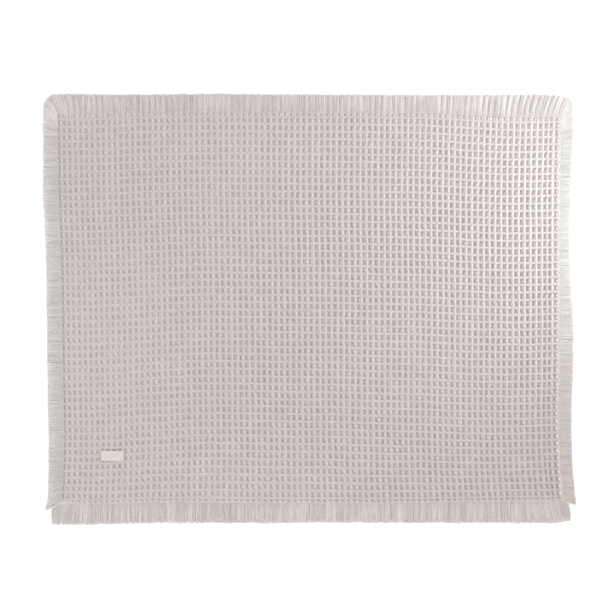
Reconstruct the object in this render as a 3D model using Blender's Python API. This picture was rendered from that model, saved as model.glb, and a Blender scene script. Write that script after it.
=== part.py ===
"""A waffle weave cotton blanket laid out flat, with a fringe along each of its four sides.

Metres, +Z up. The origin is under the middle of the blanket, on the surface that it lies on.
The cloth lies in the XY plane. Its warp runs along Y and ends in the fringes of the two long sides;
its weft runs along X and ends in the fringes of the two short ones.
"""
import math
from collections import namedtuple

import bmesh
import bpy
from mathutils import Matrix, Vector

# ------------------------------------------------------------------ driving sizes
MM = 0.001
PANEL_THICK = 4.4 * MM          # woven waffle cloth from ridge to ridge, lying slack
PANEL_UNEVEN = 0.45 * MM        # how far its upper face rises and dips
FRINGE_THICK = 2.6 * MM         # the unwoven yarn ends, lying side by side
HEADING = 3.5 * MM              # strip at the root of each fringe where the bundles touch
SLOT_TIP = 3.0 * MM             # gap between two bundles of yarn at their free ends
TIP_ROUND = 0.8 * MM            # how far the middle of a bundle's end stands out
TIP_UNEVEN = 1.1 * MM           # how unevenly the ends are cut
GAP = 0.3 * MM                  # clearance between neighbouring pieces
COLUMNS = 84                    # waffle cells across the width, one bundle of fringe each
ROWS = 52                       # waffle cells down the length, one bundle of fringe each
LABEL_WIDE = 42.5 * MM
LABEL_DEEP = 19.0 * MM
LABEL_THICK = 1.0 * MM          # a folded strip of satin tape
LABEL_ROUND = 0.35 * MM
LABEL_AT = (-372.5 * MM, -277.5 * MM)
LABEL_TURN = math.radians(-0.6)

# The four sides, in millimetres from the middle of the blanket. Each row is one section across
# the edge: where the woven cloth ends, and where the yarn ends that start there reach to.
Section = namedtuple("Section", "edge_x edge_y tip_x tip_y")

TOP_SIDE = (                    # from the left corner to the right one
    Section(-475.5, 371.0, -491.5, 403.0),
    Section(-448.0, 371.0, -453.5, 406.5),
    Section(-396.0, 371.5, -398.0, 406.0),
    Section(-301.0, 374.0, -302.5, 406.0),
    Section(-206.0, 374.5, -206.0, 407.0),
    Section(-30.0, 373.5, -30.5, 406.0),
    Section(155.0, 373.0, 155.0, 405.0),
    Section(229.0, 372.0, 230.5, 404.5),
    Section(304.0, 368.5, 307.0, 404.5),
    Section(380.0, 365.0, 386.0, 404.5),
    Section(436.0, 365.0, 448.0, 404.0),
    Section(476.0, 366.0, 492.5, 400.5),
)
BOTTOM_SIDE = (                 # from the left corner to the right one
    Section(-469.0, -368.0, -487.5, -407.0),
    Section(-442.0, -368.0, -447.0, -407.0),
    Section(-395.0, -368.0, -396.5, -405.5),
    Section(-301.0, -365.0, -301.0, -403.5),
    Section(-206.0, -365.0, -206.5, -403.0),
    Section(-92.0, -366.0, -92.0, -404.0),
    Section(30.0, -366.5, 30.0, -402.5),
    Section(155.0, -366.5, 155.0, -403.5),
    Section(304.0, -364.0, 304.5, -403.0),
    Section(380.0, -363.0, 382.0, -403.0),
    Section(446.0, -362.5, 454.5, -404.0),
    Section(480.0, -362.0, 493.5, -399.5),
)
LEFT_SIDE = (                   # from the top corner to the bottom one
    Section(-475.5, 371.0, -497.5, 398.0),
    Section(-475.0, 348.0, -502.5, 357.0),
    Section(-474.0, 281.5, -503.0, 281.5),
    Section(-473.0, 206.0, -502.5, 206.0),
    Section(-470.5, 111.5, -498.5, 111.5),
    Section(-468.0, -21.0, -497.0, -21.0),
    Section(-466.5, -134.0, -495.5, -134.5),
    Section(-464.5, -248.0, -493.5, -249.0),
    Section(-466.5, -314.0, -494.0, -318.0),
    Section(-468.0, -346.0, -495.0, -354.0),
    Section(-469.0, -368.0, -497.0, -375.5),
)
RIGHT_SIDE = (                  # from the top corner to the bottom one
    Section(476.0, 366.0, 499.0, 391.5),
    Section(475.0, 338.0, 498.0, 346.0),
    Section(473.5, 281.5, 496.0, 283.0),
    Section(472.5, 206.0, 493.5, 206.5),
    Section(472.5, 130.0, 490.5, 130.0),
    Section(472.5, 60.0, 494.5, 60.0),
    Section(472.5, -36.0, 499.5, -36.5),
    Section(472.0, -115.0, 498.0, -115.5),
    Section(471.5, -210.0, 495.0, -210.5),
    Section(474.0, -295.0, 497.0, -297.0),
    Section(478.0, -338.5, 501.0, -344.0),
    Section(480.0, -362.0, 503.0, -367.0),
)

# A corner bundle splays, so its outer edge bows out past a knee, in the same millimetres.
Knee = namedtuple("Knee", "x y")
BOTTOM_LEFT_KNEE = Knee(-485.5, -376.5)
BOTTOM_RIGHT_KNEE = Knee(491.5, -374.0)

# Low swells and dips of the cloth's upper face: middle, reach and height, the height as a share
# of PANEL_UNEVEN.
Swell = namedtuple("Swell", "x y reach height")
SWELLS = (
    Swell(-330.0, 240.0, 150.0, 0.8),
    Swell(-120.0, 300.0, 120.0, -0.6),
    Swell(60.0, 120.0, 180.0, 0.7),
    Swell(350.0, 230.0, 140.0, 1.0),
    Swell(300.0, -60.0, 160.0, -0.8),
    Swell(-60.0, -180.0, 170.0, 0.9),
    Swell(-400.0, -60.0, 140.0, -0.7),
    Swell(180.0, -300.0, 130.0, 0.8),
    Swell(430.0, -250.0, 90.0, 0.5),
)

Finish = namedtuple("Finish", "red green blue roughness")
COTTON = Finish(0.59, 0.53, 0.51, 0.92)
FRINGE_COTTON = Finish(0.61, 0.56, 0.54, 0.90)
SATIN_TAPE = Finish(0.84, 0.78, 0.74, 0.55)


# ------------------------------------------------------------------ helpers
def clear_scene():
    for thing in list(bpy.data.objects):
        bpy.data.objects.remove(thing, do_unlink=True)


def cotton_material(name, finish):
    material = bpy.data.materials.new(name)
    material.use_nodes = True
    shader = material.node_tree.nodes["Principled BSDF"]
    shader.inputs["Base Color"].default_value = (finish.red, finish.green, finish.blue, 1.0)
    shader.inputs["Roughness"].default_value = finish.roughness
    shader.inputs["Metallic"].default_value = 0.0
    material.diffuse_color = (finish.red, finish.green, finish.blue, 1.0)
    return material


def stations(side):
    """How far along the side each section is, from 0 to 1, by the length of the cloth's edge."""
    run = [0.0]
    for before, after in zip(side[:-1], side[1:]):
        run.append(run[-1] + math.hypot(after.edge_x - before.edge_x, after.edge_y - before.edge_y))
    return [length / run[-1] for length in run]


def smooth_between(knots, values, at):
    """A smooth curve through the values, read at one place."""
    last = len(knots) - 1
    piece = next((i for i in range(last) if at <= knots[i + 1]), last - 1)

    def slope(i):
        low, high = max(i - 1, 0), min(i + 1, last)
        return (values[high] - values[low]) / (knots[high] - knots[low])

    span = knots[piece + 1] - knots[piece]
    t = min(max((at - knots[piece]) / span, 0.0), 1.0)
    return ((2 * t**3 - 3 * t**2 + 1) * values[piece]
            + (t**3 - 2 * t**2 + t) * span * slope(piece)
            + (3 * t**2 - 2 * t**3) * values[piece + 1]
            + (t**3 - t**2) * span * slope(piece + 1))


def edge_point(side, at):
    knots = stations(side)
    return Vector((smooth_between(knots, [row.edge_x for row in side], at),
                   smooth_between(knots, [row.edge_y for row in side], at))) * MM


def tip_point(side, at):
    knots = stations(side)
    return Vector((smooth_between(knots, [row.tip_x for row in side], at),
                   smooth_between(knots, [row.tip_y for row in side], at))) * MM


def cloth_point(across, down):
    """A place on the woven cloth, from the shares of its width and length (0 to 1 each)."""
    top, bottom = edge_point(TOP_SIDE, across), edge_point(BOTTOM_SIDE, across)
    left, right = edge_point(LEFT_SIDE, down), edge_point(RIGHT_SIDE, down)
    corners = ((1 - across) * ((1 - down) * edge_point(TOP_SIDE, 0.0) + down * edge_point(BOTTOM_SIDE, 0.0))
               + across * ((1 - down) * edge_point(TOP_SIDE, 1.0) + down * edge_point(BOTTOM_SIDE, 1.0)))
    return (1 - down) * top + down * bottom + (1 - across) * left + across * right - corners


def cloth_height(x, y):
    """Height of the cloth's upper face over the surface it lies on."""
    lift = sum(s.height * math.exp(-((x / MM - s.x) ** 2 + (y / MM - s.y) ** 2) / s.reach**2) for s in SWELLS)
    return PANEL_THICK + PANEL_UNEVEN * lift


def uneven(number, side_number):
    """A fixed, irregular share from -1 to 1 for each bundle of yarn."""
    return 0.6 * math.sin(2.39 * number + 1.7 * side_number) + 0.4 * math.sin(5.13 * number + 0.6 + side_number)


def keep_mesh_as(name, mesh_maker, material, collection):
    mesh = bpy.data.meshes.new(name)
    work = bmesh.new()
    mesh_maker(work)
    bmesh.ops.recalc_face_normals(work, faces=work.faces)
    work.to_mesh(mesh)
    work.free()
    mesh.materials.append(material)
    piece = bpy.data.objects.new(name, mesh)
    collection.objects.link(piece)
    return piece


# ------------------------------------------------------------------ pieces
def weave_panel(work):
    """The woven cloth: a grid laid to its four wavy edges, thickened down to a flat underside."""
    across, down = COLUMNS // 2, ROWS // 2
    bmesh.ops.create_grid(work, x_segments=across, y_segments=down, size=0.5)
    for vert in work.verts:
        place = cloth_point(round((vert.co.x + 0.5) * across) / across, round((0.5 - vert.co.y) * down) / down)
        vert.co = (place.x, place.y, cloth_height(place.x, place.y))
    lower = bmesh.ops.extrude_face_region(work, geom=work.faces[:])["geom"]
    for part in lower:
        if isinstance(part, bmesh.types.BMVert):
            part.co.z = 0.0
    under = [face for face in work.faces if all(vert.co.z == 0.0 for vert in face.verts)]
    if not under:
        raise RuntimeError("the panel has no underside")
    bmesh.ops.dissolve_faces(work, faces=under, use_verts=False)


def comb_outline(side, side_number, bundles, outward, start_knee=None, end_knee=None):
    """The outline of one side's fringe: a narrow heading along the cloth, then its bundles of yarn.

    The bundles touch at the heading and part towards their ends, which bulge a little.
    """
    outward = Vector(outward)
    root = [edge_point(side, i / (bundles // 2)) + outward * GAP for i in range(bundles // 2 + 1)]
    slot = 0.5 * SLOT_TIP / sum((after - before).length for before, after in zip(root[:-1], root[1:]))

    def strand(at):
        """Foot and free end of the yarn that starts at one place along the edge."""
        foot, end = edge_point(side, at) + outward * GAP, tip_point(side, at)
        return foot, end, (end - foot).normalized()

    ends = []
    for i in range(bundles):
        first, last = i == 0, i == bundles - 1
        reach = TIP_UNEVEN * uneven(i, side_number)
        if not first:
            foot, _, along = strand(i / bundles)
            ends.append(foot + along * HEADING)
        elif start_knee:
            ends.append(Vector(start_knee) * MM)
        for at, bulge in ((i / bundles + (0.0 if first else slot), 0.0),
                          ((i + 0.5) / bundles, TIP_ROUND),
                          ((i + 1) / bundles - (0.0 if last else slot), 0.0)):
            _, end, along = strand(at)
            ends.append(end + along * (reach + bulge))
        if last and end_knee:
            ends.append(Vector(end_knee) * MM)
    return root + ends[::-1]


def comb_of_fringe(outline):
    """One side's fringe, cut as a comb: its flat outline, filled and then raised to its thickness."""
    def fill_and_raise(work):
        line = [work.verts.new((place.x, place.y, 0.0)) for place in outline]
        sides = [work.edges.new((line[i - 1], line[i])) for i in range(len(line))]
        bmesh.ops.contextual_create(work, geom=sides)
        raised = bmesh.ops.extrude_face_region(work, geom=work.faces[:])["geom"]
        bmesh.ops.translate(work, vec=(0.0, 0.0, FRINGE_THICK),
                            verts=[part for part in raised if isinstance(part, bmesh.types.BMVert)])
    return fill_and_raise


def sewn_label(work):
    """A bare folded tape, with its edges eased."""
    bmesh.ops.create_cube(work, size=1.0, matrix=Matrix.Diagonal((LABEL_WIDE, LABEL_DEEP, LABEL_THICK, 1.0)))
    bmesh.ops.bevel(work, geom=work.edges[:], offset=LABEL_ROUND, segments=1, affect="EDGES", profile=0.5)


def build():
    clear_scene()
    blanket = bpy.data.collections.new("waffle_weave_blanket")
    bpy.context.scene.collection.children.link(blanket)

    cloth = cotton_material("waffle_cotton", COTTON)
    yarn = cotton_material("fringe_cotton", FRINGE_COTTON)
    tape = cotton_material("satin_tape", SATIN_TAPE)

    keep_mesh_as("panel", weave_panel, cloth, blanket)
    keep_mesh_as("fringe_top", comb_of_fringe(comb_outline(TOP_SIDE, 0, COLUMNS, (0.0, 1.0))), yarn, blanket)
    keep_mesh_as("fringe_bottom",
                 comb_of_fringe(comb_outline(BOTTOM_SIDE, 1, COLUMNS, (0.0, -1.0),
                                             BOTTOM_LEFT_KNEE, BOTTOM_RIGHT_KNEE)), yarn, blanket)
    keep_mesh_as("fringe_left", comb_of_fringe(comb_outline(LEFT_SIDE, 2, ROWS, (-1.0, 0.0))), yarn, blanket)
    keep_mesh_as("fringe_right", comb_of_fringe(comb_outline(RIGHT_SIDE, 3, ROWS, (1.0, 0.0))), yarn, blanket)

    label = keep_mesh_as("label", sewn_label, tape, blanket)
    corners = [(LABEL_AT[0] + a * LABEL_WIDE / 2, LABEL_AT[1] + b * LABEL_DEEP / 2) for a in (-1, 0, 1) for b in (-1, 0, 1)]
    under = max(cloth_height(x, y) for x, y in corners) + GAP
    label.location = (LABEL_AT[0], LABEL_AT[1], under + LABEL_THICK / 2)
    label.rotation_euler = (0.0, 0.0, LABEL_TURN)


build()
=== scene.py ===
"""The looks of a waffle weave cotton blanket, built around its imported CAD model.

The cloth is one closed, two-sided sheet shaped as a waffle. On it lie the yarns that the loom leaves floating over
its ridges: warp floats along the vertical ones, weft floats along the horizontal ones, shorter and deeper down the
sides of each pit. The four fringes are single yarn ends that leave the cloth, gather in bundles and lie on the floor.

Places on the cloth are given in cells, from rib to rib: `across` runs from -1 at the left edge over ribs 0 to 84 to
85 at the right edge, and `down` from -1 at the top edge over ribs 0 to 51 to 52 at the bottom edge.
"""
import math
from collections import namedtuple

import bpy  # noqa: E402
import numpy as np  # noqa: E402
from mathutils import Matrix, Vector  # noqa: E402


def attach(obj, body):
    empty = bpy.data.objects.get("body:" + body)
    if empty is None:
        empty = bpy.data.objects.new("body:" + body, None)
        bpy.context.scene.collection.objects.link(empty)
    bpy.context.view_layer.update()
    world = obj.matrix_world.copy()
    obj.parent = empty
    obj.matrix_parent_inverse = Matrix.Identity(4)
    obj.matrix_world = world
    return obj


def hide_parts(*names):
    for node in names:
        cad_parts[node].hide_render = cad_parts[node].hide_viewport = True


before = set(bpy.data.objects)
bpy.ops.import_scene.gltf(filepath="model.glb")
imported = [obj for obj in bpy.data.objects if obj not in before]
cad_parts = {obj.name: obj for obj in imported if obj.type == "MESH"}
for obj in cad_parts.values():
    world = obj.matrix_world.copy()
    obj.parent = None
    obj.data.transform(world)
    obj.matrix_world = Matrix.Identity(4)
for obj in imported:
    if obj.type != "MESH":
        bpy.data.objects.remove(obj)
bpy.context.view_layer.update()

MM = 0.001

# ------------------------------------------------------------------ the outline, in millimetres
# It follows the CAD model's, but for up to 4 mm at some tips and 1 mm at the cloth's edge, where the picture shows it so.
# Each row is one section across the edge: where the woven cloth ends, and where the yarn ends that start there reach to.
TOP_SIDE = np.array((           # edge_x, edge_y, tip_x, tip_y, from the left corner to the right one
    (-477.0, 371.0, -490.5, 403.5),
    (-469.0, 371.0, -484.5, 406.5),
    (-448.0, 371.0, -453.5, 407.0),
    (-396.0, 371.5, -398.0, 406.0),
    (-301.0, 374.0, -302.5, 406.0),
    (-206.0, 374.5, -206.0, 407.0),
    (-30.0, 373.5, -30.5, 406.0),
    (155.0, 373.0, 155.0, 405.7),
    (229.0, 372.0, 230.5, 405.5),
    (304.0, 368.5, 307.0, 405.7),
    (380.0, 365.0, 386.0, 405.7),
    (436.0, 365.0, 448.0, 406.0),
    (476.0, 366.0, 490.5, 401.0),
))
BOTTOM_SIDE = np.array((        # from the left corner to the right one
    (-469.0, -368.0, -487.5, -407.0),
    (-442.0, -368.0, -447.0, -407.0),
    (-395.0, -368.0, -396.5, -405.5),
    (-301.0, -365.0, -301.0, -403.5),
    (-206.0, -365.0, -206.5, -403.0),
    (-92.0, -366.0, -92.0, -404.0),
    (30.0, -366.5, 30.0, -402.5),
    (155.0, -366.5, 155.0, -403.5),
    (304.0, -364.0, 304.5, -403.0),
    (380.0, -363.0, 382.0, -403.0),
    (446.0, -362.5, 454.5, -404.0),
    (480.0, -362.0, 493.5, -399.5),
))
LEFT_SIDE = np.array((          # from the top corner to the bottom one
    (-477.0, 371.0, -498.5, 398.0),
    (-476.9, 365.5, -502.5, 388.5),
    (-476.5, 348.0, -503.5, 357.0),
    (-475.4, 281.5, -504.0, 281.5),
    (-474.0, 206.0, -503.5, 206.0),
    (-470.5, 111.5, -498.5, 111.5),
    (-468.0, -21.0, -497.0, -21.0),
    (-466.5, -134.0, -495.5, -134.5),
    (-464.5, -248.0, -493.5, -249.0),
    (-466.5, -314.0, -494.0, -318.0),
    (-468.0, -346.0, -495.0, -354.0),
    (-469.0, -368.0, -499.5, -376.5),
))
RIGHT_SIDE = np.array((         # from the top corner to the bottom one
    (476.0, 366.0, 496.5, 391.5),
    (475.0, 338.0, 499.5, 346.0),
    (473.5, 281.5, 498.5, 283.0),
    (472.5, 206.0, 496.0, 206.5),
    (472.5, 130.0, 493.5, 130.0),
    (472.5, 60.0, 495.0, 60.0),
    (472.5, -36.0, 499.5, -36.5),
    (472.0, -115.0, 498.0, -115.5),
    (471.5, -210.0, 495.0, -210.5),
    (474.0, -295.0, 497.0, -297.0),
    (478.0, -338.5, 501.0, -344.0),
    (480.0, -362.0, 503.0, -367.0),
))
SWELLS = np.array((             # x, y, reach, height: the low swells and dips of the cloth's face
    (-330.0, 240.0, 150.0, 0.8), (-120.0, 300.0, 120.0, -0.6), (60.0, 120.0, 180.0, 0.7),
    (350.0, 230.0, 140.0, 1.0), (300.0, -60.0, 160.0, -0.8), (-60.0, -180.0, 170.0, 0.9),
    (-400.0, -60.0, 140.0, -0.7), (180.0, -300.0, 130.0, 0.8), (430.0, -250.0, 90.0, 0.5),
))
RIDGE_HEIGHT, RIDGE_UNEVEN = 4.4, 0.45      # of the ridges' tops over the floor

# ------------------------------------------------------------------ how the weave lies in that outline
COLUMNS, ROWS = 86, 53          # pits, the narrow first and last ones included
NARROW_LEFT, NARROW_RIGHT, NARROW_TOP, NARROW_BOTTOM = 0.75, 0.95, 0.73, 0.62   # widths of those, in cells
# The ribs aren't evenly spaced: how far they have slipped sideways, in millimetres, at shares of the width ...
SLIP_AT = (0.0, 0.009, 0.05, 0.10, 0.19, 0.28, 0.37, 0.46, 0.54, 0.63, 0.72, 0.90, 0.972, 0.986, 0.994, 1.0)
SLIP = (0.0, -2.3, -4.2, -5.9, -6.6, -6.9, -5.9, -4.9, -3.6, -1.9, -1.3, -1.3, -1.3, -3.6, -3.4, 0.0)
# ... and how far the rows bow downwards, at shares of the width, times how much of that shows at shares of the length.
BOW_AT = (0.0, 0.014, 0.10, 0.19, 0.28, 0.37, 0.46, 0.54, 0.63, 0.72, 0.81, 0.90, 1.0)
BOW = (2.3, 2.3, 1.3, -0.8, -4.3, -4.5, -3.6, -3.4, -1.1, 0.8, 4.0, 4.5, 2.8)
BOW_SHOWS_AT = (0.0, 0.03, 0.13, 0.24, 0.34, 0.44, 0.54, 0.65, 0.75, 0.85, 0.954, 1.0)
BOW_SHOWS = (0.0, 0.35, 0.4, 0.45, 0.6, 0.7, 0.9, 1.1, 1.15, 1.2, 0.45, 0.0)

# ------------------------------------------------------------------ sizes of the yarns, in millimetres
PIT_FLOOR = 0.80                # over the floor that the blanket lies on
STRETCHED = 0.65                # how much shallower the pits are towards the left edge, where the cloth is pulled flat
DEEPER = (410.0, -40.0, 240.0, 0.40)    # x, y, reach, and how much deeper they are round that place
UNDER_PIT = 1.1
YARN_ROOM = 0.55                # the floats stand this far out of the cloth's ridges
RIDGE_HALF_WIDE, RIDGE_HALF_LONG = 0.12, 0.08       # of the ridges' flat tops, in cells, to both sides of a rib
WALL_WIDE, WALL_LONG = 0.18, 0.14                   # of the pits' steep sides, in cells
RIM_ROW_SHALLOWER = 0.4         # of the pits of the first and last rows, in millimetres
RIM_HEIGHT = 0.42               # of the cloth's outer rim, as a share of a ridge's height over the pits
RIM_HEIGHT_RIGHT = 0.80

# A float is a stretch of yarn that lies on the face. Its place is beside a rib, and its reach is half its length, in
# cells. Its crest is so far below the ridge, and its ends sink by so much, in millimetres. Steps are its cross-sections.
Float = namedtuple("Float", "beside reach half_width below sink steps")
WARP_FLOATS = (
    Float(0.0, 0.42, 0.80, 0.00, 1.35, 3),
    Float(-0.115, 0.29, 0.74, 0.20, 1.0, 2),
    Float(0.115, 0.28, 0.70, 0.70, 1.0, 2),
    Float(-0.225, 0.18, 0.78, 0.45, 0.9, 1),
    Float(0.210, 0.13, 0.60, 2.10, 0.9, 1),
    Float(-0.330, 0.11, 0.78, 0.95, 0.7, 1),
)
WEFT_FLOATS = (
    Float(0.0, 0.44, 0.90, 0.30, 1.10, 3),
    Float(-0.095, 0.33, 0.74, 1.05, 1.0, 2),
    Float(0.095, 0.33, 0.74, 0.85, 1.0, 2),
    Float(-0.180, 0.15, 0.66, 2.50, 0.8, 2),
    Float(0.180, 0.15, 0.66, 2.20, 0.8, 2),
)
KNOT = Float(0.0, 0.11, 0.70, 0.55, 0.8, 1)     # where the warp crosses over each horizontal ridge


# ------------------------------------------------------------------ places on the cloth
def read_curve(knots, values, at):
    """A smooth curve through the values, read at many places."""
    knots, values, at = (np.asarray(v, float) for v in (knots, values, at))
    last = len(knots) - 1
    low, high = np.maximum(np.arange(last + 1) - 1, 0), np.minimum(np.arange(last + 1) + 1, last)
    slope = (values[high] - values[low]) / (knots[high] - knots[low])
    piece = np.clip(np.searchsorted(knots, at, side="left") - 1, 0, last - 1)
    span = knots[piece + 1] - knots[piece]
    t = np.clip((at - knots[piece]) / span, 0.0, 1.0)
    return ((2 * t**3 - 3 * t**2 + 1) * values[piece] + (t**3 - 2 * t**2 + t) * span * slope[piece]
            + (3 * t**2 - 2 * t**3) * values[piece + 1] + (t**3 - t**2) * span * slope[piece + 1])


def stations(side):
    run = np.concatenate(([0.0], np.cumsum(np.hypot(*(side[1:, :2] - side[:-1, :2]).T))))
    return run / run[-1]


def edge_point(side, at):
    knots = stations(side)
    return np.stack([read_curve(knots, side[:, 0], at), read_curve(knots, side[:, 1], at)], -1)


def tip_point(side, at):
    knots = stations(side)
    return np.stack([read_curve(knots, side[:, 2], at), read_curve(knots, side[:, 3], at)], -1)


def cloth_point(a, d):
    """Where the cloth lies, in millimetres, at shares of its width and length."""
    a, d = np.broadcast_arrays(np.asarray(a, float), np.asarray(d, float))
    wide, long = a[..., None], d[..., None]
    tl, tr, bl, br = (edge_point(s, np.array(t)) for s, t in ((TOP_SIDE, 0.0), (TOP_SIDE, 1.0),
                                                              (BOTTOM_SIDE, 0.0), (BOTTOM_SIDE, 1.0)))
    corners = (1 - wide) * ((1 - long) * tl + long * bl) + wide * ((1 - long) * tr + long * br)
    return ((1 - long) * edge_point(TOP_SIDE, a) + long * edge_point(BOTTOM_SIDE, a)
            + (1 - wide) * edge_point(LEFT_SIDE, d) + wide * edge_point(RIGHT_SIDE, d) - corners)


def share_across(across):
    cells = np.where(across < 0, NARROW_LEFT * across, np.where(across > 84, 84 + NARROW_RIGHT * (across - 84), across))
    share = (cells + NARROW_LEFT) / (84 + NARROW_LEFT + NARROW_RIGHT)
    return share + read_curve(SLIP_AT, SLIP, share) / 942.0


def share_down(down, share):
    cells = np.where(down < 0, NARROW_TOP * down, np.where(down > 51, 51 + NARROW_BOTTOM * (down - 51), down))
    long = (cells + NARROW_TOP) / (51 + NARROW_TOP + NARROW_BOTTOM)
    return long + read_curve(BOW_AT, BOW, share) * read_curve(BOW_SHOWS_AT, BOW_SHOWS, long) / 738.0


def uneven(seed, across, down, scale=1.0):
    """A fixed, smooth, irregular number from -1 to 1 for each place, changing over about `scale` cells."""
    grid = np.random.default_rng(seed).uniform(-1.0, 1.0, (int(60 / scale) + 6, int(96 / scale) + 6))
    x, y = (np.asarray(across, float) + 2) / scale, (np.asarray(down, float) + 2) / scale
    x, y = np.broadcast_arrays(x, y)
    i, j = np.floor(x).astype(int), np.floor(y).astype(int)
    u, v = x - i, y - j
    u, v = u * u * (3 - 2 * u), v * v * (3 - 2 * v)
    return ((grid[j, i] * (1 - u) + grid[j, i + 1] * u) * (1 - v)
            + (grid[j + 1, i] * (1 - u) + grid[j + 1, i + 1] * u) * v)


def place(across, down):
    """Where a place on the weave lies, in millimetres, with the ribs' lean and their small irregularities."""
    across, down = np.broadcast_arrays(np.asarray(across, float), np.asarray(down, float))
    inside = (np.clip(np.minimum(across + 1, 85 - across), 0, 1) * np.clip(np.minimum(down + 1, 52 - down), 0, 1))
    low_left = np.clip(0.5 + 0.5 * (down / 51 - across / 84), 0, 1)
    lean = -0.050 + 0.125 * low_left + 0.050 * uneven(3, across, down, 1.5)
    x = across + inside * (-lean * np.sin(2 * math.pi * down) + 0.045 * uneven(5, across, down)
                           + 0.030 * uneven(6, across, down, 0.6))
    y = down + inside * (0.032 * uneven(7, across, down) + 0.030 * uneven(8, across, down, 3.0)
                         + 0.020 * np.sin(2 * math.pi * across) * uneven(9, across, down, 2.0))
    share = share_across(x)
    return cloth_point(share, share_down(y, share))


def ridge_top(xy):
    """Height of the ridges' tops, in millimetres over the floor."""
    x, y = xy[..., 0], xy[..., 1]
    lift = sum(h * np.exp(-((x - cx) ** 2 + (y - cy) ** 2) / reach**2) for cx, cy, reach, h in SWELLS)
    return RIDGE_HEIGHT + RIDGE_UNEVEN * lift


def ridges(across, down):
    """0 on the floor of a pit of the face, 1 on a ridge and a little less where two ridges cross."""
    def wall(from_rib, half, width):
        return np.clip(1 - (np.abs(from_rib) - half) / width, 0, 1)

    rim = across < -0.5
    one = wall(across - np.round(across), np.where(rim, 0.0, RIDGE_HALF_WIDE), np.where(rim, 0.12, WALL_WIDE))
    one = np.maximum(one, np.clip((across - 84.70) / 0.2, 0, 1))
    other = wall(down - np.round(down), RIDGE_HALF_LONG, WALL_LONG)
    one = one * np.where(rim, RIM_HEIGHT, 1.0)
    other = 0.95 * other * np.where((down < -0.5) | (down > 51.5), RIM_HEIGHT, 1.0)
    at_rim = np.clip(np.maximum(np.maximum(-across, -down) - 0.7, down - 51.7) / 0.3, 0, 1)
    high = np.maximum(one, other) - 0.16 * np.minimum(one, other)
    high = np.where(across > 84.5, np.minimum(high, 1.0 - (1.0 - RIM_HEIGHT_RIGHT) * np.clip(across - 84.5, 0, 0.5) / 0.5), high)
    return np.minimum(high, 1.0 - (1.0 - RIM_HEIGHT) * at_rim)


def under_ridges(across, down):
    """The same for the underside, whose ridges lie under the middles of the face's pits."""
    one, other = 1 - 2 * np.abs(across - np.round(across)), 1 - 2 * np.abs(down - np.round(down))
    return 1 - np.maximum(one, 0) * np.maximum(other, 0)


def face_height(across, down, xy):
    pit = PIT_FLOOR + STRETCHED * np.clip(0.5 - xy[..., 0] / 950.0, 0, 1)
    pit = pit - DEEPER[3] * np.exp(-((xy[..., 0] - DEEPER[0]) ** 2 + (xy[..., 1] - DEEPER[1]) ** 2) / DEEPER[2] ** 2)
    pit = pit + RIM_ROW_SHALLOWER * np.clip(np.maximum(-down, 3.0 * (down - 51)) / 0.3, 0, np.where(down > 51, 3.0, 1.0))
    return pit + (ridge_top(xy) - YARN_ROOM - pit) * ridges(across, down)


# ------------------------------------------------------------------ meshes
def make_piece(name, places, quads, triangles, material, uv=None, tone=None):
    """One mesh object that rides on the frame. Places are in millimetres; uv and tone are given for each of them."""
    mesh = bpy.data.meshes.new(name)
    quads, triangles = np.asarray(quads, np.int32).reshape(-1, 4), np.asarray(triangles, np.int32).reshape(-1, 3)
    corners = np.concatenate([quads.ravel(), triangles.ravel()])
    starts = np.concatenate([np.arange(len(quads)) * 4, len(quads) * 4 + np.arange(len(triangles)) * 3])
    mesh.vertices.add(len(places))
    mesh.vertices.foreach_set("co", (np.asarray(places, float) * MM).astype(np.float32).ravel())
    mesh.loops.add(len(corners))
    mesh.loops.foreach_set("vertex_index", corners.astype(np.int32))
    mesh.polygons.add(len(starts))
    mesh.polygons.foreach_set("loop_start", starts.astype(np.int32))
    mesh.update(calc_edges=True)
    mesh.polygons.foreach_set("use_smooth", np.ones(len(starts), bool))
    if uv is not None:
        layer = mesh.uv_layers.new(name="yarn")
        layer.data.foreach_set("uv", np.asarray(uv, np.float32)[corners].ravel())
    if tone is not None:
        mesh.attributes.new("yarn_tone", "FLOAT", "POINT").data.foreach_set("value", np.asarray(tone, np.float32))
    mesh.validate()
    mesh.update()
    mesh.materials.append(material)
    piece = bpy.data.objects.new(name, mesh)
    bpy.context.scene.collection.objects.link(piece)
    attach(piece, "root")
    return piece


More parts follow.
